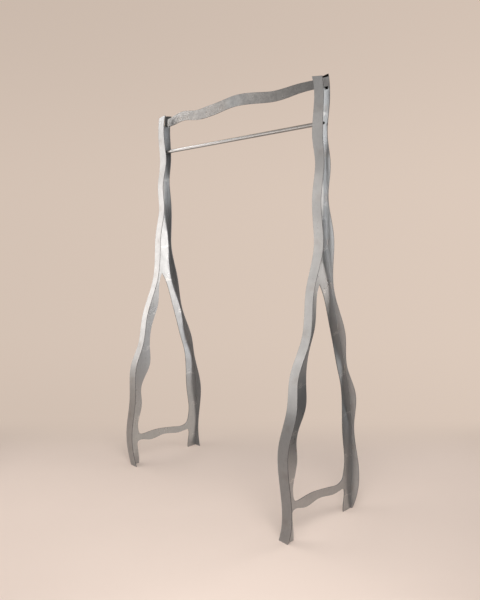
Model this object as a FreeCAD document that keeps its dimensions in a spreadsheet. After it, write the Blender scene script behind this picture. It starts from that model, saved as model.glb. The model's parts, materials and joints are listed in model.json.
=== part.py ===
import FreeCAD, Part
import os

from FreeCAD import Rotation, Vector

# Free-standing clothes rack of thin sheet metal with wavy cut edges, in millimetres.
# +X runs along the hanging rod, -Y faces the front and +Z is up. The origin is on the floor in the
# middle of the rack. Each end frame is a wishbone-shaped plate that stands across the rod, edged at
# the front and the rear by a ribbon of sheet that follows the plate's contour from floor to top.

SIZES = [
    ("frame_spacing", 980, "between the middle planes of the two end plates"),
    ("plate_thickness", 3, "sheet of the end plates"),
    ("ribbon_thickness", 3, "sheet of the ribbons"),
    ("ribbon_width", 46, "ribbon along the rod's direction, near the foot"),
    ("ribbon_sway", 13, "how far a ribbon snakes to each side of its plate"),
    ("post_height", 1686, "floor to the inner corner of a ribbon's top"),
    ("front_slant", -6.5, "rise of a front ribbon's top towards its outer corner"),
    ("rear_slant", 8, "rise of a rear ribbon's top towards its outer corner"),
    ("fork_height", 916, "floor to the crotch where a plate splits into two legs"),
    ("fork_offset", -16, "crotch from the plate's middle, along Y"),
    ("foot_half_depth", 198, "outer contour from the middle, at the floor"),
    ("fork_half_depth", 56, "outer contour from the middle, at the crotch"),
    ("post_half_depth", 20, "outer contour from the middle, at the straight top"),
    ("straight_top", 96, "straight stretch of the contour below the top"),
    ("plate_drop", 43, "plate's top edge below the ribbons' top"),
    ("relief_radius", 4.5, "round relief at the plate's rear top corner"),
    ("leg_strip", 48, "plate between a ribbon and the opening between the legs"),
    ("crossbar_height", 120, "floor to the middle of the crossbar"),
    ("crossbar_width", 34, "crossbar, top to bottom"),
    ("front_corner", 22, "rounding between the crossbar's top and the front leg"),
    ("rear_corner", 40, "rounding between the crossbar's top and the rear leg"),
    ("under_corner", 12, "rounding between the crossbar's underside and the legs"),
    ("beam_end_gap", 14, "top beam's end from the middle plane of the plate"),
    ("beam_width", 45, "top beam, top to bottom"),
    ("beam_thickness", 3.5, "sheet of the top beam"),
    ("beam_wave", 15, "rise of the top beam's middle over its ends"),
    ("beam_drop", 21, "top beam's middle line below the ribbons' top"),
    ("rod_diameter", 16, "hanging rod"),
    ("rod_drop", 174, "rod's axis below the ribbons' top"),
    ("screw_diameter", 6, "screw that holds each end of the rod"),
    ("screw_length", 24, "screw below its head"),
    ("head_diameter", 10.5, "screw head"),
    ("head_height", 3.3, "screw head"),
    ("socket_flats", 4, "hexagon socket in the screw head"),
    ("socket_depth", 2, "hexagon socket in the screw head"),
    ("screw_clearance", 0.6, "hole in the plate over the screw, on the diameter"),
    ("thread_clearance", 0.1, "threaded hole in the rod over the screw, on the diameter"),
    ("thread_spare", 3, "threaded hole past the screw's tip"),
    ("weld_leg", 2.5, "weld bead, from the corner to its edge"),
    ("weld_length", 24, "one weld stitch"),
    ("weld_pitch", 165, "from one weld stitch to the next, in height"),
]

# Outer contour of the legs: (share of the fork's height, share of the splay from crotch to foot).
LEG_CONTOUR = [
    (0.00, 1.000), (0.12, 1.056), (0.21, 1.073), (0.31, 1.049), (0.41, 0.993), (0.51, 0.884),
    (0.60, 0.722), (0.70, 0.539), (0.80, 0.343), (0.90, 0.155), (1.00, 0.000),
]
# Outer contour of the post from the crotch to the straight top: (share of that height, share of the
# narrowing from crotch to top that is still to come).
POST_CONTOUR = [
    (0.125, 0.556), (0.214, 0.394), (0.304, 0.319), (0.379, 0.203), (0.460, 0.089), (0.617, 0.056),
    (0.706, -0.061), (0.796, -0.122), (0.870, -0.097), (0.937, -0.028), (1.000, 0.000),
]
# Crests and troughs of a ribbon's snaking: (share of its height, sway outwards in units of the
# ribbon's sway, width in units of the ribbon's width).
RIBBON_WAVE = [
    (0.000, -1.10, 0.93), (0.094, 0.62, 1.00), (0.200, -0.98, 1.03), (0.284, 0.60, 1.01),
    (0.344, -0.65, 0.89), (0.425, 0.88, 0.85), (0.525, -0.62, 0.83), (0.635, 0.73, 0.93),
    (0.738, -0.73, 0.89), (0.807, 0.12, 0.89), (0.866, -1.00, 1.04), (0.940, -0.35, 0.93),
    (1.000, -1.02, 1.03),
]
# Plate beside the opening, from the crossbar's rounding up to the crotch: (share of that height,
# width of the plate in units of the leg strip).
FRONT_STRIP = [
    (0.000, 0.92), (0.053, 0.90), (0.112, 1.15), (0.172, 1.28), (0.251, 1.08), (0.311, 1.21),
    (0.370, 1.63), (0.423, 1.77), (0.489, 1.48), (0.582, 1.05), (0.688, 0.94), (0.794, 1.08),
    (0.873, 0.85), (0.952, 0.66),
]
REAR_STRIP = [
    (0.000, 1.21), (0.053, 1.10), (0.119, 1.17), (0.212, 1.29), (0.304, 1.20), (0.384, 1.04),
    (0.476, 0.88), (0.556, 0.94), (0.688, 0.96), (0.794, 0.97), (0.900, 1.01), (0.959, 1.17),
]
# Plate beside the gap under the crossbar: (share of the crossbar's height, width in leg strips).
FRONT_FOOT_STRIP = [(0.00, 0.73), (0.33, 0.78), (0.62, 0.73)]
REAR_FOOT_STRIP = [(0.00, 1.05), (0.23, 1.08), (0.50, 1.02), (0.68, 1.05)]
# Wavy edges of the crossbar: (share of the way from the front leg to the rear leg, rise over the
# crossbar's middle in units of half its width).
BAR_TOP = [(0.15, 1.09), (0.33, 1.26), (0.55, 0.88), (0.75, 0.29), (0.86, 0.09)]
BAR_UNDERSIDE = [
    (0.05, -0.50), (0.18, -1.06), (0.30, -1.24), (0.46, -0.82), (0.67, -1.35), (0.78, -1.65), (0.92, -1.50),
]
# Top beam from its left end to its right end: (share of half its length, rise of its middle line in
# units of the beam's wave, width in units of the beam's width).
BEAM_WAVE = [
    (-1.00, -0.57, 0.82), (-0.86, 0.00, 0.98), (-0.76, 0.47, 0.99), (-0.54, -0.23, 1.00),
    (-0.39, -0.10, 1.13), (-0.21, 0.37, 1.09), (-0.03, 1.00, 1.07), (0.14, 0.87, 1.07),
    (0.315, 0.20, 1.02), (0.47, -0.37, 0.96), (0.61, -0.33, 0.94), (0.76, 0.00, 0.84),
    (0.90, 0.00, 0.76), (1.00, -0.13, 0.76),
]
# A rounding's middle from the corner that it replaces, along each side, in units of its radius.
ROUND_CORNER = 1 - 0.5 ** 0.5
HALVINGS = 50   # steps that find a height on the contour

doc = FreeCAD.newDocument("clothes_rack")
sheet = doc.addObject("Spreadsheet::Sheet", "Sizes")
for row, (alias, value, meaning) in enumerate(SIZES, start=1):
    sheet.set(f"A{row}", meaning)
    sheet.set(f"B{row}", str(value))
    sheet.setAlias(f"B{row}", alias)
doc.recompute()


def size(alias):
    """A driving dimension, in millimetres."""
    return float(sheet.get(alias))


def spline(points, start=None, end=None):
    """Smooth curve through points, with given directions at its ends where the shape needs them."""
    curve = Part.BSplineCurve()
    if start is None:
        curve.interpolate(Points=points)
    else:
        curve.interpolate(Points=points, InitialTangent=start, FinalTangent=end)
    return curve


def spans(curve):
    """Edges of a smooth curve, one from each of its points to the next."""
    return [span.toShape() for span in curve.toBezier()]


def polyline(*points):
    """Straight edges through points."""
    return [Part.LineSegment(a, b).toShape() for a, b in zip(points, points[1:])]


def flat_profile(name, edges):
    """Plane face inside a closed run of edges, as an object of the document."""
    profile = doc.addObject("Part::Feature", name)
    profile.Shape = Part.Face(Part.Wire(Part.__sortEdges__(edges)))
    return profile


def extruded(name, profile, direction, length, symmetric=False):
    """Solid made by pushing a profile along a direction by a length worked out from the sizes."""
    solid = doc.addObject("Part::Extrusion", name)
    solid.Base = profile
    solid.DirMode = "Custom"
    solid.Dir = direction
    solid.Solid = True
    solid.Symmetric = symmetric
    solid.setExpression("LengthFwd", length)
    return solid


def cylinder(name, radius, height, direction):
    """Round bar along a direction, its radius and height worked out from the sizes."""
    bar = doc.addObject("Part::Cylinder", name)
    bar.setExpression("Radius", radius)
    bar.setExpression("Height", height)
    bar.Placement.Rotation = Rotation(Vector(0, 0, 1), direction)
    return bar


def place(solid, **expressions):
    """Tie a solid's position to the sizes."""
    for axis, expression in expressions.items():
        solid.setExpression(f"Placement.Base.{axis}", expression)


def united(name, *solids):
    """Several solids as one."""
    union = doc.addObject("Part::MultiFuse", name)
    union.Shapes = list(solids)
    return union


def cut(name, base, tool):
    """A solid with the tool's space taken out of it."""
    result = doc.addObject("Part::Cut", name)
    result.Base = base
    result.Tool = tool
    return result


def common(name, base, tool):
    """The space that two solids share."""
    result = doc.addObject("Part::Common", name)
    result.Base = base
    result.Tool = tool
    return result


def mirrored(name, source, normal):
    """The other piece of a mirrored pair."""
    twin = doc.addObject("Part::Mirroring", name)
    twin.Source = source
    twin.Normal = normal
    return twin


def contour_points():
    """Outer contour from the floor to the straight top, as (height, distance from the middle)."""
    fork, fork_half = size("fork_height"), size("fork_half_depth")
    splay = size("foot_half_depth") - fork_half
    points = [(share * fork, fork_half + bulge * splay) for share, bulge in LEG_CONTOUR]
    straight = size("post_height") - size("straight_top")
    narrowing = fork_half - size("post_half_depth")
    for share, left in POST_CONTOUR:
        points.append((fork + share * (straight - fork), size("post_half_depth") + left * narrowing))
    return points


def contour_curve(side, inset):
    """Contour below the straight top, on the front (-1) or rear (1) side, moved in by an inset."""
    points = [Vector(0, side * (half - inset), height) for height, half in contour_points()]
    return spline(points, points[1] - points[0], Vector(0, 0, 1))


def half_depth(height):
    """Outer contour's distance from the middle at a height, and its direction there."""
    curve = contour_curve(1, 0)
    low, high = curve.FirstParameter, curve.LastParameter
    if height >= curve.value(high).z:
        return size("post_half_depth"), Vector(0, 0, 1)
    for _ in range(HALVINGS):
        middle = (low + high) / 2
        if curve.value(middle).z < height:
            low = middle
        else:
            high = middle
    return curve.value(low).y, curve.tangent(low)[0]


def contour_edges(side, inset, top):
    """Contour from the floor up to a height within the straight top."""
    curve = contour_curve(side, inset)
    end = curve.value(curve.LastParameter)
    return spans(curve) + polyline(end, Vector(0, end.y, top))


def closed_band(first, second):
    """Close two upright runs of edges across the floor and across the top."""
    ends = [(run[0].Vertexes[0].Point, run[-1].Vertexes[-1].Point) for run in (first, second)]
    return first + second + polyline(ends[0][0], ends[1][0]) + polyline(ends[0][1], ends[1][1])


def leg_edge(side, height, strip):
    """Point on a leg's inner edge: the plate is a given number of leg strips wide there."""
    half, _ = half_depth(height)
    return Vector(0, side * (half - size("ribbon_thickness") - strip * size("leg_strip")), height)


def bar_point(front, rear, share, rise):
    """Point on an edge of the crossbar, part of the way from the front leg to the rear leg."""
    height = size("crossbar_height") + rise * size("crossbar_width") / 2
    return Vector(0, front.y + share * (rear.y - front.y), height)


def opening_profile():
    """Opening between the legs: down the front leg, along the crossbar and up the rear leg."""
    bar_tops = {}
    for side, (_, rise), corner in ((-1, BAR_TOP[0], "front_corner"), (1, BAR_TOP[-1], "rear_corner")):
        bar_tops[side] = size("crossbar_height") + rise * size("crossbar_width") / 2, size(corner)

    def leg(side, strips):
        foot = sum(bar_tops[side])
        rise = size("fork_height") - foot
        return [leg_edge(side, foot + share * rise, strip) for share, strip in strips]

    def rounding(side, leg_foot):
        top, corner = bar_tops[side]
        return Vector(0, leg_foot.y - side * ROUND_CORNER * corner, top + ROUND_CORNER * corner)

    crotch = Vector(0, size("fork_offset"), size("fork_height"))
    front, rear = leg(-1, FRONT_STRIP), leg(1, REAR_STRIP)
    bar = [bar_point(front[0], rear[0], share, rise) for share, rise in BAR_TOP]
    floor = [rounding(-1, front[0]), *bar, rounding(1, rear[0])]
    points = [crotch, *reversed(front), *floor, *rear, crotch]
    return flat_profile("OpeningProfile", spans(spline(points)))


def foot_gap_profile():
    """Gap under the crossbar, carried on below the floor so that it is open there."""
    def foot(side, strips):
        return [leg_edge(side, share * size("crossbar_height"), strip) for share, strip in strips]

    def rounding(side, leg_top, end):
        corner = size("under_corner")
        return Vector(0, leg_top.y - side * ROUND_CORNER * corner, end.z - ROUND_CORNER * corner)

    front, rear = foot(-1, FRONT_FOOT_STRIP), foot(1, REAR_FOOT_STRIP)
    bar = [bar_point(front[-1], rear[-1], share, rise) for share, rise in BAR_UNDERSIDE]
    ceiling = [rounding(-1, front[-1], bar[0]), *bar, rounding(1, rear[-1], bar[-1])]
    points = [*front, *ceiling, *reversed(rear)]
    below = Vector(0, 0, -size("crossbar_width"))
    edges = polyline(points[-1], points[-1] + below, points[0] + below, points[0])
    return flat_profile("FootGapProfile", spans(spline(points)) + edges)


def ribbon_outline(name, slant):
    """Ribbon seen from the front: two snaking edges, a flat foot and a slanted top."""
    def edge(outwards, top):
        points = []
        for share, sway, width in RIBBON_WAVE:
            middle = sway * size("ribbon_sway")
            points.append(Vector(middle + outwards * width * size("ribbon_width") / 2, 0, share * top))
        return spans(spline(points))

    outer = edge(1, size("post_height") + slant)
    inner = edge(-1, size("post_height"))
    return flat_profile(name, closed_band(outer, inner))


def beam_outline():
    """Top beam seen from the front: two wavy edges and two straight ends."""
    middle = size("post_height") - size("beam_drop")
    half_length = size("frame_spacing") / 2 - size("beam_end_gap")

    def edge(side):
        points = []
        for share, rise, width in BEAM_WAVE:
            height = middle + rise * size("beam_wave") + side * width * size("beam_width") / 2
            points.append(Vector(share * half_length, 0, height))
        return spans(spline(points))

    return flat_profile("BeamOutline", closed_band(edge(-1), edge(1)))


# Ribbons of the right frame. Each is the meeting of a thin band that follows the contour, drawn on
# past the top, and the snaking outline that ends it.
thickness, height = size("ribbon_thickness"), size("post_height")
past_top = height + size("straight_top")
past_edges = "(Sizes.ribbon_width + Sizes.ribbon_sway) * 4"
past_feet = "Sizes.foot_half_depth * 2"
right_ribbons = []
for end, side in (("front", -1), ("rear", 1)):
    band_edges = closed_band(contour_edges(side, 0, past_top), contour_edges(side, thickness, past_top))
    band_profile = flat_profile(f"{end}_band_profile", band_edges)
    band = extruded(f"{end}_band", band_profile, Vector(1, 0, 0), past_edges, symmetric=True)
    outline = ribbon_outline(f"{end}_outline", size(f"{end}_slant"))
    snake = extruded(f"{end}_snake", outline, Vector(0, side, 0), past_feet)
    for solid in (band, snake):
        place(solid, x="Sizes.frame_spacing / 2")
    right_ribbons.append(common(f"right_{end}_ribbon", snake, band))

# End plate between the ribbons, with the opening between its legs, the gap under its crossbar, the
# relief at its rear top corner and the hole for the rod's screw.
plate_top = height - size("plate_drop")
plate_edges = closed_band(contour_edges(-1, thickness, plate_top), contour_edges(1, thickness, plate_top))
plate_profile = flat_profile("PlateProfile", plate_edges)
blank = extruded("PlateBlank", plate_profile, Vector(1, 0, 0), "Sizes.plate_thickness", symmetric=True)
through = "Sizes.plate_thickness * 4"
opening = extruded("Opening", opening_profile(), Vector(1, 0, 0), through, symmetric=True)
foot_gap = extruded("FootGap", foot_gap_profile(), Vector(1, 0, 0), through, symmetric=True)
for cutter in (blank, opening, foot_gap):
    place(cutter, x="Sizes.frame_spacing / 2")
relief = cylinder("Relief", "Sizes.relief_radius", through, Vector(1, 0, 0))
place(
    relief,
    x="Sizes.frame_spacing / 2 - Sizes.plate_thickness * 2",
    y="Sizes.post_half_depth - Sizes.ribbon_thickness",
    z="Sizes.post_height - Sizes.plate_drop",
)
hole_radius = "(Sizes.screw_diameter + Sizes.screw_clearance) / 2"
screw_hole = cylinder("ScrewHole", hole_radius, through, Vector(1, 0, 0))
place(
    screw_hole,
    x="Sizes.frame_spacing / 2 - Sizes.plate_thickness * 2",
    z="Sizes.post_height - Sizes.rod_drop",
)
right_end_plate = cut("right_end_plate", blank, united("PlateCuts", opening, foot_gap, relief, screw_hole))

# Weld stitches in the corner between the plate's outer face and each ribbon.
corner_fill = extruded("CornerFill", plate_profile, Vector(1, 0, 0), "Sizes.weld_leg * 2")
place(corner_fill, x="(Sizes.frame_spacing + Sizes.plate_thickness) / 2")
outer_face = (size("frame_spacing") + size("plate_thickness")) / 2
stitches = []
stitch_height = size("weld_pitch") / 2
while stitch_height < plate_top - size("weld_length"):
    half, rear_along = half_depth(stitch_height)
    along = Vector(0, -rear_along.y, rear_along.z)
    start = Vector(outer_face, thickness - half, stitch_height) - along * (size("weld_length") / 2)
    stitches.append(Part.makeCylinder(size("weld_leg"), size("weld_length"), start, along))
    stitch_height += size("weld_pitch")
stitch_bars = doc.addObject("Part::Feature", "StitchBars")
stitch_bars.Shape = Part.makeCompound(stitches)
right_front_welds = common("right_front_welds", stitch_bars, corner_fill)
right_rear_welds = mirrored("right_rear_welds", right_front_welds, Vector(0, 1, 0))

# Top beam, lapped on the inner faces of the two rear ribbons and welded to them along its ends.
top_beam = extruded("top_beam", beam_outline(), Vector(0, -1, 0), "Sizes.beam_thickness")
place(top_beam, y="Sizes.post_half_depth - Sizes.ribbon_thickness")
beam_welds = []
for name, side, turn, (_, end_rise, end_width) in (
    ("left_beam_weld", -1, 180, BEAM_WAVE[0]),
    ("right_beam_weld", 1, -90, BEAM_WAVE[-1]),
):
    end_height = f"Sizes.beam_width * {end_width}"
    weld = cylinder(name, "Sizes.weld_leg", end_height, Vector(0, 0, 1))
    weld.Angle = 90
    weld.Placement.Rotation = Rotation(Vector(0, 0, 1), turn)
    place(
        weld,
        x=f"{side} * (Sizes.frame_spacing / 2 - Sizes.beam_end_gap)",
        y="Sizes.post_half_depth - Sizes.ribbon_thickness",
        z=f"Sizes.post_height - Sizes.beam_drop + Sizes.beam_wave * {end_rise} - {end_height} / 2",
    )
    beam_welds.append(weld)

# Hanging rod between the plates, with a threaded hole in each end.
rod_height = "Sizes.post_height - Sizes.rod_drop"
rod_length = "(Sizes.frame_spacing - Sizes.plate_thickness)"
bar = cylinder("RodBar", "Sizes.rod_diameter / 2", rod_length, Vector(1, 0, 0))
place(bar, x=f"-{rod_length} / 2", z=rod_height)
thread_radius = "(Sizes.screw_diameter + Sizes.thread_clearance) / 2"
thread_depth = "(Sizes.screw_length - Sizes.plate_thickness + Sizes.thread_spare)"
right_thread = cylinder("RightThread", thread_radius, thread_depth, Vector(1, 0, 0))
place(right_thread, x=f"{rod_length} / 2 - {thread_depth}", z=rod_height)
left_thread = mirrored("LeftThread", right_thread, Vector(1, 0, 0))
hanging_rod = cut("hanging_rod", bar, united("RodThreads", right_thread, left_thread))

# Screw through each plate into the rod, with a hexagon socket in its head.
plate_face = "(Sizes.frame_spacing + Sizes.plate_thickness) / 2"
head = cylinder("ScrewHead", "Sizes.head_diameter / 2", "Sizes.head_height", Vector(1, 0, 0))
place(head, x=plate_face, z=rod_height)
shank = cylinder("ScrewShank", "Sizes.screw_diameter / 2", "Sizes.screw_length", Vector(-1, 0, 0))
place(shank, x=plate_face, z=rod_height)
socket = doc.addObject("Part::Prism", "ScrewSocket")
socket.Polygon = 6
socket.setExpression("Circumradius", "Sizes.socket_flats / 2 / cos(30 deg)")
socket.setExpression("Height", "Sizes.socket_depth")
socket.Placement.Rotation = Rotation(Vector(0, 0, 1), Vector(-1, 0, 0))
place(socket, x=f"{plate_face} + Sizes.head_height", z=rod_height)
right_rod_screw = cut("right_rod_screw", united("ScrewBody", head, shank), socket)

right_pieces = [right_end_plate, *right_ribbons, right_front_welds, right_rear_welds, right_rod_screw]
left_pieces = [
    mirrored(piece.Name.replace("right", "left"), piece, Vector(1, 0, 0)) for piece in right_pieces
]
pieces = right_pieces + left_pieces + [top_beam, *beam_welds, hanging_rod]

doc.recompute()
for item in doc.Objects:
    if "Invalid" in item.State or "Error" in item.State:
        raise RuntimeError(f"{item.Label} failed: {item.State}")
for piece in pieces:
    if piece.Shape.isNull() or not piece.Shape.isValid() or not piece.Shape.Solids:
        raise RuntimeError(f"{piece.Label} has no valid solid")

os.makedirs("parts", exist_ok=True)
for piece in pieces:
    piece.Shape.exportStep(f"parts/{piece.Label}.step")
    print(piece.Label, len(piece.Shape.Solids), "solids", round(piece.Shape.Volume), "mm3")
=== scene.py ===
import json
import math
from typing import NamedTuple

import bmesh
import bpy
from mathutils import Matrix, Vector


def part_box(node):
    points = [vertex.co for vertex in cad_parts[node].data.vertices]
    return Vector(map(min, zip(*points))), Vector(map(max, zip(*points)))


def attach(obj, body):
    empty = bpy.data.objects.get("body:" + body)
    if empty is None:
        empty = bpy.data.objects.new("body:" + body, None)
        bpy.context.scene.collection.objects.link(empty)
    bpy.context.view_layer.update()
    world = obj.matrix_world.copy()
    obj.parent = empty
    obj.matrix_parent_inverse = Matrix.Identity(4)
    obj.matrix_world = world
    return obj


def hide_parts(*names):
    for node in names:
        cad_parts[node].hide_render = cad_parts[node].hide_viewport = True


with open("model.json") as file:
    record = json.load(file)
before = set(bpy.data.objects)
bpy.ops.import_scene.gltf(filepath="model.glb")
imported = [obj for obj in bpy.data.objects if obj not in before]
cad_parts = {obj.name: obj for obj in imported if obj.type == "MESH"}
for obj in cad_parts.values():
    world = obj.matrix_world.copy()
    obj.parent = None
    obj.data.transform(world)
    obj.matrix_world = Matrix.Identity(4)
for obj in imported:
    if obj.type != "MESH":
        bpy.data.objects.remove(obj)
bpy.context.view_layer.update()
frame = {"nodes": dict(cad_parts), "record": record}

# Looks of the clothes rack: raw satin sheet metal on a pale seamless floor, in a ring of soft boxes.
# Sizes and places are in metres, angles in degrees and colours are linear.


class Grain(NamedTuple):
    """Noise: waves per metre, all ways or (along, across) a piece's length, and its character."""
    scale: float | tuple[float, float]
    detail: float = 4.0
    roughness: float = 0.55
    distortion: float = 0.0


# Camera of the photograph. The optical axis meets the picture above its middle, hence the shift.
CAMERA_PLACE = (1.7784, -1.6767, 1.0800)
CAMERA_AZIMUTH = 45.86
CAMERA_PITCH = -2.22
CAMERA_LENS_MM = 33.68
CAMERA_SENSOR_MM = 36.0
CAMERA_SHIFT_Y = -0.0637

# Backdrop, with painted shade and light: it darkens a little upwards, downwards and to the left, and is lit
# a little more to the right. The heights at which it does are those of a direction one metre long.
BACKDROP_COLOUR = (0.690, 0.567, 0.480)
BACKDROP_LOSS_ABOVE = 0.10
BACKDROP_LOSS_BELOW = 0.04
BACKDROP_GAIN_RIGHT = 0.11
BACKDROP_ABOVE = 0.05, 0.42
BACKDROP_BELOW = -0.15, -0.33

# Paper floor, which turns into backdrop further out. Painted shade darkens it a little away from the
# camera.
PAPER_COLOUR = (0.800, 0.680, 0.610)
PAPER_GRAIN = Grain(3.0)
PAPER_MOTTLE = 0.03
PAPER_PAINTED_SHADE = 0.10
PAPER_SHADE_REACH = -1.00, 0.40                 # where the painted shade darkens the paper, away from the camera
FLOOR_HALF_SIZE = 30.0
SWEEP = 0.20, 0.90                       # where the floor turns into backdrop, beyond the rack
PAPER_END = 1.00, 1.80                   # the same on all sides, from the middle of the rack

# Soft boxes on a ring around the rack, upright and facing its middle: name, azimuth, lowest and highest
# point, width, radiance and colour.
AMBIENT = (0.42, 0.415, 0.41, 1)
RING_RADIUS = 1.60
PEACH_WHITE = (1.00, 0.92, 0.85)
WARM_WHITE = (1.00, 0.96, 0.92)
COOL_WHITE = (1.00, 0.97, 0.94)
SOFT_BOXES = (
    ("left_soft_box", 211.0, 0.36, 1.85, 0.90, 2.10, WARM_WHITE),
    ("left_fill", 243.0, 0.65, 1.75, 0.80, 1.68, PEACH_WHITE),
    ("left_upper_box", 222.0, 1.85, 2.60, 1.30, 0.65, WARM_WHITE),
    ("right_soft_box", 54.0, 0.45, 1.30, 0.50, 3.40, WARM_WHITE),
    ("right_upper_box", 38.0, 0.62, 2.20, 0.40, 1.50, WARM_WHITE),
    ("right_top_box", 28.0, 1.60, 2.30, 0.30, 1.50, COOL_WHITE),
    ("front_soft_box", 313.0, 0.40, 1.28, 1.42, 2.40, COOL_WHITE),
    ("front_upper_box", 322.0, 1.28, 1.98, 1.50, 4.00, COOL_WHITE),
    ("front_top_box", 322.0, 1.98, 2.60, 1.50, 5.20, COOL_WHITE),
)

# Upright flats that only the metal's gloss sees: name, level of grey, lowest and highest point and the
# line that it stands on, as (azimuth, distance) from the rack's middle. The dark room is behind the camera,
# from the picture's right, which has the camera's own azimuth, round to its left.
ROOM_LINE = (
    (CAMERA_AZIMUTH, 3.40), (CAMERA_AZIMUTH - 45.0, 4.80),
    (CAMERA_AZIMUTH - 135.0, 4.80), (CAMERA_AZIMUTH - 180.0, 3.40),
)
FAR_POST_LINE = ((223.4, 0.402), (209.6, 0.170))
FLATS = (
    ("dark_room", 0.08, 0.00, 5.00, ROOM_LINE),
    ("dark_side", 0.08, 0.00, 0.42, ((14.0, 1.10), (36.0, 1.10))),
    ("dark_rear", 0.06, 0.45, 0.74, ((30.0, 1.10), (41.5, 1.10))),
    ("dark_rear_low", 0.06, 0.00, 0.33, ((36.0, 1.10), (41.5, 1.10))),
    ("dark_front", 0.20, 0.00, 0.30, ((232.0, 1.50), (265.0, 1.50))),
    ("dark_post", 0.04, 0.66, 1.28, FAR_POST_LINE),
    ("grey_post", 1.40, 1.42, 1.80, FAR_POST_LINE),
    ("pale_side", 1.50, 0.00, 0.45, ((42.0, 1.55), (68.0, 1.55))),
    ("pale_rod", 12.00, 1.95, 2.55, ((183.0, 1.55), (200.0, 1.55))),
)

# Cards on the floor, for the gloss alone as well: name, colour, and reach in X and in Y.
CARDS = (
    ("pale_card", (0.800, 0.690, 0.600, 1), (-0.42, 0.42), (-0.10, 0.95)),
    ("dim_card", (0.575, 0.487, 0.434, 1), (-0.30, 0.48), (-1.00, -0.20)),
)
CARD_HEIGHT = 0.001

# Weld stitches, as the frame has them: the first and the step between them, in height.
STITCH_FIRST = 0.0825
STITCH_STEP = 0.165

# Weld beads: ripples along a quarter-round bead, each bowed forwards in its middle, and round ends.
RIPPLE_STEP = 0.0022
RIPPLE_DEPTH = 0.20                      # share of the bead's radius
RIPPLE_BOW = 0.50                        # share of a ripple
RINGS_PER_RIPPLE = 5
BEAD_SECTORS = 7
BEAD_END = 0.0030                        # length of a round end
BEAD_LEAST = 0.30                        # share of the radius that is left at the very end
BEAD_SHARP_ANGLE = 60.0
CORNER_REACH = 0.003                     # how far from a bead's end the points of its end lie
FACE_REACH = 0.10                        # how far points on the plate's face may be off it, in radii

# The right rear ribbon's shading normal leans to the rear, as if off square with its plate, and more so
# towards its outer edge; the solid itself stays square. Its top is straight.
REAR_LEAN = 9.0
REAR_CURL = 10.5                         # what the outer edge leans more
CURL_REACH = 0.002, 0.020                # where it does, outwards from the plate
STRAIGHT_TOP = 1.44, 1.37                # heights between which the lean sets in, downwards

# Raw sheet: the shares of its grain and its tone, its marks, and what each adds to the roughness.
STREAKS = Grain((7.0, 420.0), detail=5.0, roughness=0.65)
FINE_STREAKS = Grain((30.0, 1900.0), detail=2.0)
STREAK_SHARE, FINE_SHARE = 0.70, 0.30
CLOUD_SHARE, GRAIN_SHARE = 0.45, 0.55
HANDLING = Grain(6.5, detail=3.0, roughness=0.50, distortion=1.2)
ROUGH_CLOUDS, ROUGH_HANDLING, ROUGH_STREAKS, ROUGH_EDGES = -0.08, 0.12, 0.08, 0.15
SPOTS = Grain(140.0, detail=2.0)
SPOT_LIMITS = 0.66, 0.74
SPOT_STRENGTH = 0.35
SPOT_COLOUR = (0.12, 0.11, 0.10, 1)
SCUFFS = Grain((18.0, 700.0), detail=1.0)
SCUFF_LIMITS = 0.63, 0.72
SCUFF_STRENGTH = 0.30
EDGE_COLOUR = (0.22, 0.225, 0.23, 1)     # cut edges and scuffs
EDGE_SLOPE = 0.7                         # a face that looks less than this along the flat axis is an edge

# Burr along a sheet's sharp edges, and how far the rounded normal turns there.
BURR_RADIUS = 0.0022
BURR_SAMPLES = 6
BURR_LIMITS = 0.99, 0.86
BURR_COLOUR = (0.07, 0.07, 0.072, 1)
BURR_GRAIN = Grain(90.0)
BURR_GAIN, BURR_LEAST = 0.90, 0.25

# Unevenness of a sheet, as (rise, strength).
SHEET_WAVES = Grain(5.0, detail=1.0)
WAVE_BUMP = 0.004, 0.25
DENT_BUMP = 0.0006, 0.25
GRAIN_BUMP = 0.0001, 0.35

# Ticks across a plate at the stitches: band around a stitch, step and width of the lines, and patches.
TICK_GRAIN = Grain(25.0)
TICK_WOBBLE = 0.05
TICK_BAND = 0.010, 0.006
TICK_STEP = 0.0035
TICK_LINES = 0.0008, 0.0022
TICK_PATCHES = Grain(30.0)
TICK_PATCH_LIMITS = 0.46, 0.58
TICK_STRENGTH = 0.55
TICK_COLOUR = (0.78, 0.77, 0.75, 1)

# Heat marks on a ribbon at the stitches: reach and colour of the straw and of the grey.
HEAT_GRAIN = Grain(60.0)
HEAT_WOBBLE = 0.012
HEAT_STRENGTH = 0.14
HEAT_COLOURS = (
    ((0.020, 0.008), (0.33, 0.29, 0.25, 1)),
    ((0.011, 0.003), (0.20, 0.21, 0.23, 1)),
)

# Painted shade beside the beam's ends, nearly black, where the channel between the ribbons lies in shade:
# where it sets in, from the plate's top, from the beam weld's top, from the relief's height and outwards
# from the plate.
PAINTED_SHADE_COLOUR = (0.004, 0.004, 0.004, 1)
SHADE_FROM_PLATE = -0.007, -0.003
SHADE_FROM_BEAM = 0.001, 0.005
SHADE_FROM_RELIEF = 0.007, 0.004
SHADE_OFF_PLATE = 0.010, 0.007
SHADE_FACING = -0.5                       # a face that looks less than this along Y looks to the front

# Hanging rod.
BAR_RINGS = Grain((1500.0, 60.0), detail=2.0)
BAR_LINES = Grain((5.0, 900.0))
BAR_RUBBED = Grain((16.0, 40.0), distortion=0.4)
BAR_SHARE = 0.50
BAR_DARK, BAR_LIGHT = (0.25, 0.25, 0.25, 1), (0.43, 0.43, 0.43, 1)
BAR_ROUGH, BAR_ROUGH_RUBBED = 0.28, 0.18
BAR_BUMP = 0.00008, 0.30

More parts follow.
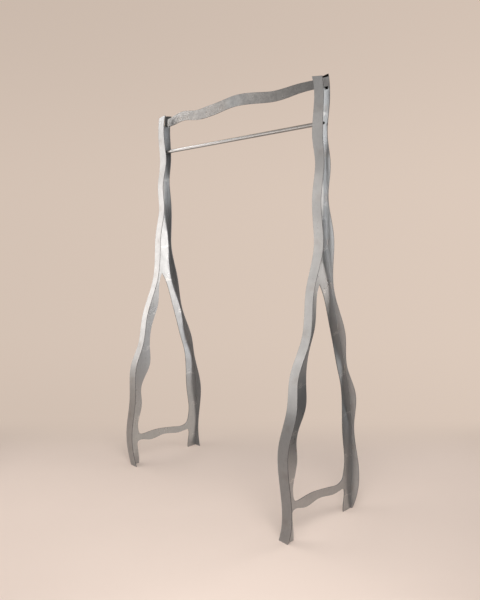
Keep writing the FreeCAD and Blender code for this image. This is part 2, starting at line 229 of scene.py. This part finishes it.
# Weld beads' metal.
WELD_CLOUDS = Grain(120.0)
WELD_PITS = Grain(1400.0, detail=3.0)
WELD_STRAW = Grain(45.0, detail=2.0)
WELD_STRAW_LIMITS = 0.48, 0.66
WELD_STRAW_STRENGTH = 0.35
WELD_STRAW_COLOUR = (0.36, 0.29, 0.20, 1)
WELD_DARK, WELD_LIGHT = (0.14, 0.14, 0.145, 1), (0.56, 0.55, 0.53, 1)
WELD_ROUGH, WELD_ROUGH_CLOUDS = 0.26, 0.22
WELD_BUMP = 0.0002, 0.50

# Blackened screws.
OXIDE_RUBBED = Grain(500.0)
OXIDE_LIMITS = 0.50, 0.75
OXIDE_DARK, OXIDE_LIGHT = (0.020, 0.020, 0.022, 1), (0.140, 0.135, 0.130, 1)
OXIDE_ROUGH, OXIDE_ROUGH_RUBBED = 0.50, -0.15
OXIDE_GRAIN = Grain(2500.0, detail=2.0)
OXIDE_BUMP = 0.00005, 0.40


def shader_node(tree, kind, inputs=None, **settings):
    """Add a node to a tree, with its settings, and set or link its inputs by name or number."""
    item = tree.nodes.new(kind)
    for key, value in settings.items():
        setattr(item, key, value)
    for key, value in (inputs or {}).items():
        if isinstance(value, bpy.types.NodeSocket):
            tree.links.new(value, item.inputs[key])
        else:
            item.inputs[key].default_value = value
    return item


def math_node(tree, operation, *values, clamp=False):
    """Output of a sum on one to three numbers or sockets."""
    inputs = dict(enumerate(values))
    return shader_node(tree, "ShaderNodeMath", inputs, operation=operation, use_clamp=clamp).outputs[0]


def product(tree, first, *others):
    """Product of two or more numbers or sockets."""
    for other in others:
        first = math_node(tree, "MULTIPLY", first, other)
    return first


def weighted_sum(tree, *terms, start=0.0):
    """Sum of (value, weight) pairs, from a start."""
    for value, weight in terms:
        start = math_node(tree, "MULTIPLY_ADD", value, weight, start)
    return start


def vector_math(tree, operation, *vectors):
    """Outputs of a node that combines vectors."""
    return shader_node(tree, "ShaderNodeVectorMath", dict(enumerate(vectors)), operation=operation).outputs


def axes(tree, vector):
    """X, Y and Z of a vector."""
    return shader_node(tree, "ShaderNodeSeparateXYZ", {0: vector}).outputs


def surface_normal(tree):
    """Normal of the surface itself."""
    return shader_node(tree, "ShaderNodeNewGeometry").outputs["Normal"]


def smooth_step(tree, value, start, end):
    """0 before start, 1 after end and a smooth rise between them."""
    inputs = {"Value": value, "From Min": start, "From Max": end}
    return shader_node(tree, "ShaderNodeMapRange", inputs, interpolation_type="SMOOTHSTEP").outputs[0]


def mix_colour(tree, factor, first, second):
    """Colour between two colours."""
    inputs = {0: factor, 6: first, 7: second}
    return shader_node(tree, "ShaderNodeMix", inputs, data_type="RGBA").outputs[2]


def noise(tree, place, grain, length_axis="Z"):
    """Cloudy noise between 0 and 1, of a grain that may be stretched along one axis."""
    scale = grain.scale
    if isinstance(scale, tuple):
        along, across = scale
        stretch = tuple(along if axis == length_axis else across for axis in "XYZ")
    else:
        stretch = (scale, scale, scale)
    stretched = shader_node(tree, "ShaderNodeMapping", {"Vector": place, "Scale": stretch})
    inputs = {
        "Vector": stretched.outputs[0], "Scale": 1.0, "Detail": grain.detail,
        "Roughness": grain.roughness, "Distortion": grain.distortion,
    }
    return shader_node(tree, "ShaderNodeTexNoise", inputs).outputs["Fac"]


def bump(tree, height, rise, strength, normal=None):
    """Normal of a surface that rises by up to a distance."""
    inputs = {"Height": height, "Distance": rise, "Strength": strength}
    if normal is not None:
        inputs["Normal"] = normal
    return shader_node(tree, "ShaderNodeBump", inputs).outputs[0]


def new_material(name):
    """Empty node material with its output, and a place on the object in metres."""
    material = bpy.data.materials.new(name)
    material.use_nodes = True
    tree = material.node_tree
    tree.nodes.clear()
    output = shader_node(tree, "ShaderNodeOutputMaterial")
    place = shader_node(tree, "ShaderNodeTexCoord").outputs["Object"]
    return material, tree, output, place


def add_metal(tree, output, colour, rough, normal):
    """Shader of bare metal, on a material's output."""
    shader = shader_node(tree, "ShaderNodeBsdfPrincipled", {
        "Base Color": colour, "Metallic": 1.0, "Roughness": rough, "Normal": normal,
    })
    tree.links.new(shader.outputs[0], output.inputs["Surface"])


def off_plate(tree, place):
    """Distance outwards from the outer face of the nearer end plate."""
    across = math_node(tree, "ABSOLUTE", axes(tree, place)["X"])
    return math_node(tree, "SUBTRACT", across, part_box("right_front_welds")[0].x)


def off_stitch(tree, height):
    """Distance in height from the nearest weld stitch."""
    step = math_node(tree, "DIVIDE", math_node(tree, "SUBTRACT", height, STITCH_FIRST), STITCH_STEP)
    return math_node(tree, "MULTIPLY", math_node(tree, "PINGPONG", step, 0.5), STITCH_STEP)


def at_rear(tree, place):
    """1 in the rear half of the rack and 0 in the front half."""
    return math_node(tree, "GREATER_THAN", axes(tree, place)["Y"], 0.0)


def at_right(tree, place):
    """1 in the right half of the rack and 0 in the left half."""
    return math_node(tree, "GREATER_THAN", axes(tree, place)["X"], 0.0)


def cut_edges(tree, flat_axis):
    """1 on the cut edges of a sheet whose broad faces look along one axis, 0 on those faces."""
    along = math_node(tree, "ABSOLUTE", axes(tree, surface_normal(tree))[flat_axis])
    return math_node(tree, "LESS_THAN", along, EDGE_SLOPE)


def burr(tree, place):
    """Ragged line along the sharp edges of a sheet: up to 1 there, and 0 a little way off."""
    inputs = {"Radius": BURR_RADIUS}
    rounded = shader_node(tree, "ShaderNodeBevel", inputs, samples=BURR_SAMPLES).outputs[0]
    same = vector_math(tree, "DOT_PRODUCT", rounded, surface_normal(tree))["Value"]
    ragged = math_node(
        tree, "MULTIPLY_ADD", noise(tree, place, BURR_GRAIN), BURR_GAIN, BURR_LEAST, clamp=True)
    return product(tree, smooth_step(tree, same, *BURR_LIMITS), ragged)


def leaning(tree, place):
    """Normal of a ribbon, of which the right rear one leans."""
    curl = smooth_step(tree, off_plate(tree, place), *CURL_REACH)
    lean = weighted_sum(tree, (curl, math.radians(REAR_CURL)), start=math.radians(REAR_LEAN))
    below_top = smooth_step(tree, axes(tree, place)["Z"], *STRAIGHT_TOP)
    angle = product(tree, at_right(tree, place), at_rear(tree, place), below_top, lean)
    inputs = {"Vector": surface_normal(tree), "Angle": angle}
    return shader_node(tree, "ShaderNodeVectorRotate", inputs, rotation_type="Z_AXIS").outputs[0]


def stitch_ticks(tree, place, colour):
    """Bright ticks across a plate, here and there, where the heat of a weld stitch came through."""
    height = axes(tree, place)["Z"]
    wobbly = weighted_sum(tree, (noise(tree, place, TICK_GRAIN), TICK_WOBBLE), start=height)
    band = smooth_step(tree, off_stitch(tree, wobbly), *TICK_BAND)
    lines = smooth_step(tree, math_node(tree, "PINGPONG", wobbly, TICK_STEP), *TICK_LINES)
    patches = smooth_step(tree, noise(tree, place, TICK_PATCHES), *TICK_PATCH_LIMITS)
    return mix_colour(tree, product(tree, band, lines, patches, TICK_STRENGTH), colour, TICK_COLOUR)


def heat_marks(tree, place, colour):
    """Straw and grey marks on a ribbon's face, where a weld stitch is on its other side."""
    off_seam = math_node(tree, "ABSOLUTE", off_plate(tree, place))
    off_weld = math_node(tree, "MAXIMUM", off_seam, off_stitch(tree, axes(tree, place)["Z"]))
    wobble = weighted_sum(tree, (noise(tree, place, HEAT_GRAIN), HEAT_WOBBLE), start=-HEAT_WOBBLE / 2)
    off_weld = math_node(tree, "ADD", off_weld, wobble)
    for reach, tint in HEAT_COLOURS:
        mark = smooth_step(tree, off_weld, *reach)
        colour = mix_colour(tree, product(tree, mark, HEAT_STRENGTH), colour, tint)
    return colour


# Painted shade: the rear ribbons' faces are made nearly black where the channel beside the beam's ends is
# shaded.
def painted_shade(tree, place, colour):
    """Painted shade, nearly black, on the rear ribbons' front faces beside the beam's ends, where the
    channel
    between the ribbons lies in shade: all the free face at the left end, and at both ends the strip above
    the beam and the spot behind the plate's relief."""
    height = axes(tree, place)["Z"]
    plate_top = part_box("right_end_plate")[1].z
    beam_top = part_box("right_beam_weld")[1].z
    from_plate = math_node(tree, "SUBTRACT", height, plate_top)
    from_beam = math_node(tree, "SUBTRACT", height, beam_top)
    above_plate = smooth_step(tree, from_plate, *SHADE_FROM_PLATE)
    above_beam = smooth_step(tree, from_beam, *SHADE_FROM_BEAM)
    relief_height = smooth_step(tree, math_node(tree, "ABSOLUTE", from_plate), *SHADE_FROM_RELIEF)
    relief = product(tree, relief_height, smooth_step(tree, off_plate(tree, place), *SHADE_OFF_PLATE))
    left = math_node(tree, "SUBTRACT", 1.0, at_right(tree, place))
    share = math_node(tree, "MAXIMUM", above_beam, relief)
    share = math_node(tree, "MAXIMUM", share, product(tree, left, above_plate))
    faces_front = math_node(tree, "LESS_THAN", axes(tree, surface_normal(tree))["Y"], SHADE_FACING)
    share = product(tree, share, faces_front, at_rear(tree, place))
    return mix_colour(tree, share, colour, PAINTED_SHADE_COLOUR)


def sheet_metal(name, length_axis, flat_axis, dark, light, clouds, gloss, marks=(), leans=False):
    """Raw rolled sheet: lengthwise streaks, clouds, spots, scuffs, marks of its own, dark edges and burr.
    The clouds are given as waves per metre and depth, and the gloss as the roughness that marks change."""
    material, tree, output, place = new_material(name)
    cloud_scale, cloud_depth = clouds
    cloud_grain = Grain(cloud_scale, detail=6.0, roughness=0.62, distortion=0.7)
    cloud_noise = noise(tree, place, cloud_grain)
    cloudy = smooth_step(tree, cloud_noise, 0.5 - cloud_depth, 0.5 + cloud_depth)
    streaks = noise(tree, place, STREAKS, length_axis)
    fine = noise(tree, place, FINE_STREAKS, length_axis)
    grain = weighted_sum(tree, (streaks, STREAK_SHARE), (fine, FINE_SHARE))
    tone = weighted_sum(tree, (cloudy, CLOUD_SHARE), (grain, GRAIN_SHARE))

    colour = mix_colour(tree, tone, dark, light)
    spots = smooth_step(tree, noise(tree, place, SPOTS), *SPOT_LIMITS)
    colour = mix_colour(tree, product(tree, spots, SPOT_STRENGTH), colour, SPOT_COLOUR)
    scuffs = smooth_step(tree, noise(tree, place, SCUFFS, length_axis), *SCUFF_LIMITS)
    colour = mix_colour(tree, product(tree, scuffs, SCUFF_STRENGTH), colour, EDGE_COLOUR)
    for add_marks in marks:
        colour = add_marks(tree, place, colour)
    edges = cut_edges(tree, flat_axis)
    colour = mix_colour(tree, edges, colour, EDGE_COLOUR)
    colour = mix_colour(tree, burr(tree, place), colour, BURR_COLOUR)

    rough = weighted_sum(
        tree, (cloudy, ROUGH_CLOUDS), (noise(tree, place, HANDLING), ROUGH_HANDLING),
        (streaks, ROUGH_STREAKS), (edges, ROUGH_EDGES), start=gloss)
    facing = leaning(tree, place) if leans else None
    waves = bump(tree, noise(tree, place, SHEET_WAVES), *WAVE_BUMP, facing)
    dents = bump(tree, cloud_noise, *DENT_BUMP, waves)
    add_metal(tree, output, colour, rough, bump(tree, grain, *GRAIN_BUMP, dents))
    return material


def plate_metal(name):
    """Sheet of the end plates, with bright ticks at the weld stitches."""
    return sheet_metal(
        name, length_axis="Z", flat_axis="X", dark=(0.37, 0.38, 0.39, 1), light=(0.48, 0.49, 0.50, 1),
        clouds=(26.0, 0.30), gloss=0.25, marks=(stitch_ticks,))


def ribbon_metal(name):
    """Sheet of the ribbons, with heat marks at the stitches and painted shade beside the beam."""
    return sheet_metal(
        name, length_axis="Z", flat_axis="Y", dark=(0.34, 0.35, 0.36, 1), light=(0.44, 0.45, 0.46, 1),
        # The last mark is painted shade beside the beam's ends.
        clouds=(24.0, 0.34), gloss=0.36, marks=(heat_marks, painted_shade), leans=True)


def beam_metal(name):
    """Darker, mottled sheet of the top beam."""
    return sheet_metal(
        name, length_axis="X", flat_axis="Y", dark=(0.190, 0.190, 0.190, 1),
        light=(0.400, 0.400, 0.398, 1), clouds=(34.0, 0.15), gloss=0.25)


def drawn_bar(name):
    """Drawn round bar: fine rings from polishing, long draw lines and rubbed patches from hangers."""
    material, tree, output, place = new_material(name)
    rings = noise(tree, place, BAR_RINGS, "X")
    lines = noise(tree, place, BAR_LINES, "X")
    rubbed = noise(tree, place, BAR_RUBBED, "X")
    tone = weighted_sum(tree, (rubbed, BAR_SHARE), (lines, 1.0 - BAR_SHARE))
    colour = mix_colour(tree, tone, BAR_DARK, BAR_LIGHT)
    rough = weighted_sum(tree, (rubbed, BAR_ROUGH_RUBBED), start=BAR_ROUGH)
    normal = bump(tree, math_node(tree, "ADD", rings, lines), *BAR_BUMP)
    add_metal(tree, output, colour, rough, normal)
    return material


def weld_metal(name):
    """Weld bead as laid: dull and pitted, bright where brushed, with grey and straw heat colours."""
    material, tree, output, place = new_material(name)
    clouds = noise(tree, place, WELD_CLOUDS)
    straw = smooth_step(tree, noise(tree, place, WELD_STRAW), *WELD_STRAW_LIMITS)
    colour = mix_colour(tree, clouds, WELD_DARK, WELD_LIGHT)
    colour = mix_colour(tree, product(tree, straw, WELD_STRAW_STRENGTH), colour, WELD_STRAW_COLOUR)
    rough = weighted_sum(tree, (clouds, WELD_ROUGH_CLOUDS), start=WELD_ROUGH)
    add_metal(tree, output, colour, rough, bump(tree, noise(tree, place, WELD_PITS), *WELD_BUMP))
    return material


def blackened_steel(name):
    """Blackened screw: nearly black oxide, rubbed to grey in patches."""
    material, tree, output, place = new_material(name)
    rubbed = smooth_step(tree, noise(tree, place, OXIDE_RUBBED), *OXIDE_LIMITS)
    colour = mix_colour(tree, rubbed, OXIDE_DARK, OXIDE_LIGHT)
    rough = weighted_sum(tree, (rubbed, OXIDE_ROUGH_RUBBED), start=OXIDE_ROUGH)
    add_metal(tree, output, colour, rough, bump(tree, noise(tree, place, OXIDE_GRAIN), *OXIDE_BUMP))
    return material


def dress(materials):
    """Give each node of the frame the material of its slot."""
    slots = {part["node"]: part["material_slot"] for part in frame["record"]["subparts"]}
    for name, node in frame["nodes"].items():
        for slot in node.material_slots:
            slot.material = materials[slots[name]]


def bead_corners(points, inwards):
    """Ends of the corner line that a bead lies in, and the bead's radius, from its solid's points."""
    inner = min(abs(point.x) for point in points)
    radius = max(abs(point.x) for point in points) - inner
    on_face = [point for point in points if abs(point.x) < inner + radius * FACE_REACH]
    ends = []
    for extreme in (min, max):
        height = extreme(point.z for point in on_face)
        near = [point for point in on_face if abs(point.z - height) < CORNER_REACH]
        ends.append(min(near, key=lambda point: inwards * point.y))
    return *ends, radius


def add_bead(mesh, start, end, inwards, radius):
    """Add one rippled quarter-round bead along a corner line to a mesh."""
    length = (end - start).length
    along = (end - start) / length
    outwards = Vector((math.copysign(1.0, start.x), 0.0, 0.0))
    inner = inwards * Vector((0.0, along.z, -along.y))
    count = round(length / RIPPLE_STEP) * RINGS_PER_RIPPLE
    rings = []
    for ring in range(count + 1):
        place = length * ring / count
        to_end = min(1.0, max(0.0, min(place, length - place)) / BEAD_END)
        fullness = BEAD_LEAST + (1.0 - BEAD_LEAST) * math.sqrt(1.0 - (1.0 - to_end) ** 2)
        loop = [mesh.verts.new(start + place * along)]
        for sector in range(BEAD_SECTORS + 1):
            angle = math.pi / 2 * sector / BEAD_SECTORS
            ripple = place / RIPPLE_STEP - RIPPLE_BOW * math.sin(2 * angle)
            size = radius * fullness * (1.0 - RIPPLE_DEPTH * (1.0 - abs(math.sin(math.pi * ripple))))
            side = math.cos(angle) * outwards + math.sin(angle) * inner
            loop.append(mesh.verts.new(start + place * along + size * side))
        rings.append(loop)
    mesh.faces.new(rings[0])
    mesh.faces.new(rings[-1])
    for low, high in zip(rings, rings[1:]):
        for i in range(len(low)):
            j = (i + 1) % len(low)
            mesh.faces.new((low[i], low[j], high[j], high[i]))


def make_beads(node, material):
    """Rippled beads in place of a node's plain quarter-round ones."""
    inwards = 1 if "front" in node else -1
    beads = {}
    for vertex in frame["nodes"][node].data.vertices:
        stitch = 0 if "beam" in node else round((vertex.co.z - STITCH_FIRST) / STITCH_STEP)
        beads.setdefault(stitch, []).append(vertex.co.copy())
    shape = bmesh.new()
    for points in beads.values():
        start, end, radius = bead_corners(points, inwards)
        add_bead(shape, start, end, inwards, radius)
    bmesh.ops.recalc_face_normals(shape, faces=shape.faces)
    mesh = bpy.data.meshes.new(f"{node}_rippled")
    shape.to_mesh(mesh)
    shape.free()
    mesh.shade_smooth()
    mesh.set_sharp_from_angle(angle=math.radians(BEAD_SHARP_ANGLE))
    mesh.materials.append(material)
    piece = bpy.data.objects.new(f"{node}_rippled", mesh)
    bpy.context.scene.collection.objects.link(piece)
    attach(piece, "root")
    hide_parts(node)


def around(azimuth, distance, height=0.0):
    """Place at an azimuth and a distance from the rack's middle."""
    turn = math.radians(azimuth)
    return Vector((distance * math.cos(turn), distance * math.sin(turn), height))


def forward():
    """Direction in which the camera looks, along the floor."""
    turn = math.radians(CAMERA_AZIMUTH)
    return Vector((-math.sin(turn), math.cos(turn), 0.0))


def rightward():
    """Direction of the picture's right, along the floor."""
    return forward().cross(Vector((0.0, 0.0, 1.0)))


def backdrop(tree, direction):
    """Colour of the backdrop in a direction from the camera's place, with its painted shade and light."""
    height = axes(tree, direction)["Z"]
    above = smooth_step(tree, height, *BACKDROP_ABOVE)
    below = smooth_step(tree, height, *BACKDROP_BELOW)
    right = vector_math(tree, "DOT_PRODUCT", direction, rightward())["Value"]
    level = weighted_sum(
        tree, (above, -BACKDROP_LOSS_ABOVE), (below, -BACKDROP_LOSS_BELOW), (right, BACKDROP_GAIN_RIGHT),
        start=1.0)
    return vector_math(tree, "MULTIPLY", level, BACKDROP_COLOUR)["Vector"]


def floor_material():
    """Matt paper that catches the rack's shadow, darkened away from the camera by painted shade, and turns
    into plain backdrop further out.
    """
    material, tree, output, place = new_material("floor_paper")
    beyond = vector_math(tree, "DOT_PRODUCT", place, forward())["Value"]
    away = vector_math(tree, "LENGTH", place)["Value"]
    # Painted shade: the paper darkens away from the camera.
    painted_paper_shade = smooth_step(tree, beyond, *PAPER_SHADE_REACH)
    shade = weighted_sum(
        tree, (noise(tree, place, PAPER_GRAIN), PAPER_MOTTLE), (painted_paper_shade, -PAPER_PAINTED_SHADE),
        start=1.0 - PAPER_MOTTLE)
    paper = vector_math(tree, "MULTIPLY", shade, PAPER_COLOUR)["Vector"]
    matt = shader_node(tree, "ShaderNodeBsdfDiffuse", {"Color": paper}).outputs[0]
    sight = vector_math(tree, "SUBTRACT", place, CAMERA_PLACE)["Vector"]
    sight = vector_math(tree, "NORMALIZE", sight)["Vector"]
    plain = shader_node(tree, "ShaderNodeEmission", {"Color": backdrop(tree, sight)}).outputs[0]
    sweep = smooth_step(tree, beyond, *SWEEP)
    share = math_node(tree, "MAXIMUM", sweep, smooth_step(tree, away, *PAPER_END))
    mix = shader_node(tree, "ShaderNodeMixShader", {0: share, 1: matt, 2: plain})
    tree.links.new(mix.outputs[0], output.inputs["Surface"])
    return material


def make_floor():
    """Large plain floor, which is not part of the rack."""
    half = FLOOR_HALF_SIZE
    mesh = bpy.data.meshes.new("floor")
    corners = [(-half, -half, 0), (half, -half, 0), (half, half, 0), (-half, half, 0)]
    mesh.from_pydata(corners, [], [(0, 1, 2, 3)])
    mesh.materials.append(floor_material())
    floor = bpy.data.objects.new("floor", mesh)
    bpy.context.scene.collection.objects.link(floor)


def make_world():
    """Even ambient light. The camera, and the metal's gloss, see the pale backdrop instead."""
    world = bpy.data.worlds.new("studio")
    bpy.context.scene.world = world
    world.use_nodes = True
    tree = world.node_tree
    tree.nodes.clear()
    output = shader_node(tree, "ShaderNodeOutputWorld")
    direction = shader_node(tree, "ShaderNodeTexCoord").outputs["Generated"]
    path = shader_node(tree, "ShaderNodeLightPath").outputs
    seen = math_node(tree, "MAXIMUM", path["Is Camera Ray"], path["Is Glossy Ray"])
    seen = math_node(tree, "MAXIMUM", seen, path["Is Transmission Ray"])
    colour = mix_colour(tree, seen, AMBIENT, backdrop(tree, direction))
    background = shader_node(tree, "ShaderNodeBackground", {"Color": colour, "Strength": 1.0})
    tree.links.new(background.outputs[0], output.inputs["Surface"])


def make_lights():
    """Soft boxes on a ring around the rack, which the camera itself doesn't see."""
    for name, azimuth, low, high, width, radiance, colour in SOFT_BOXES:
        light = bpy.data.lights.new(name, "AREA")
        light.shape = "RECTANGLE"
        light.size, light.size_y = width, high - low
        light.energy = math.pi * width * (high - low) * radiance
        light.color = colour
        lamp = bpy.data.objects.new(name, light)
        lamp.location = around(azimuth, RING_RADIUS, (low + high) / 2)
        lamp.rotation_euler = around(azimuth, -1.0).to_track_quat("-Z", "Z").to_euler()
        lamp.visible_camera = False
        bpy.context.scene.collection.objects.link(lamp)


def gloss_only(name, colour, corners, faces):
    """Plain sheet that only the metal's gloss sees."""
    material, tree, output, _ = new_material(name)
    glow = shader_node(tree, "ShaderNodeEmission", {"Color": colour})
    tree.links.new(glow.outputs[0], output.inputs["Surface"])
    mesh = bpy.data.meshes.new(name)
    mesh.from_pydata(corners, [], faces)
    mesh.materials.append(material)
    sheet = bpy.data.objects.new(name, mesh)
    for rays in ("camera", "diffuse", "transmission", "shadow"):
        setattr(sheet, f"visible_{rays}", False)
    bpy.context.scene.collection.objects.link(sheet)


def make_flats():
    """Upright flats around the rack and cards on the floor, for the metal's gloss alone."""
    for name, level, low, high, line in FLATS:
        corners = [around(*foot, height) for height in (low, high) for foot in line]
        count = len(line)
        walls = [(i, i + 1, i + 1 + count, i + count) for i in range(count - 1)]
        gloss_only(name, (level, level, level, 1), corners, walls)
    for name, colour, width, depth in CARDS:
        corners = [(x, y, CARD_HEIGHT) for x in width for y in depth]
        gloss_only(name, colour, corners, [(0, 2, 3, 1)])


def make_camera():
    """Camera at the photograph's place and angle."""
    lens = bpy.data.cameras.new("photo_camera")
    lens.lens = CAMERA_LENS_MM
    lens.sensor_width = CAMERA_SENSOR_MM
    lens.shift_y = CAMERA_SHIFT_Y
    camera = bpy.data.objects.new("photo_camera", lens)
    camera.location = CAMERA_PLACE
    camera.rotation_euler = (math.radians(90 + CAMERA_PITCH), 0, math.radians(CAMERA_AZIMUTH))
    bpy.context.scene.collection.objects.link(camera)
    bpy.context.scene.camera = camera


makers = {
    "plate_metal": plate_metal,
    "ribbon_metal": ribbon_metal,
    "beam_metal": beam_metal,
    "rod_metal": drawn_bar,
    "screw_steel": blackened_steel,
    "weld_metal": weld_metal,
}
materials = {name: make(name) for name, make in makers.items()}
dress(materials)
for node in frame["nodes"]:
    if "weld" in node:
        make_beads(node, materials["weld_metal"])
make_floor()
make_world()
make_lights()
make_flats()
make_camera()
bpy.context.scene.view_settings.view_transform = "Standard"
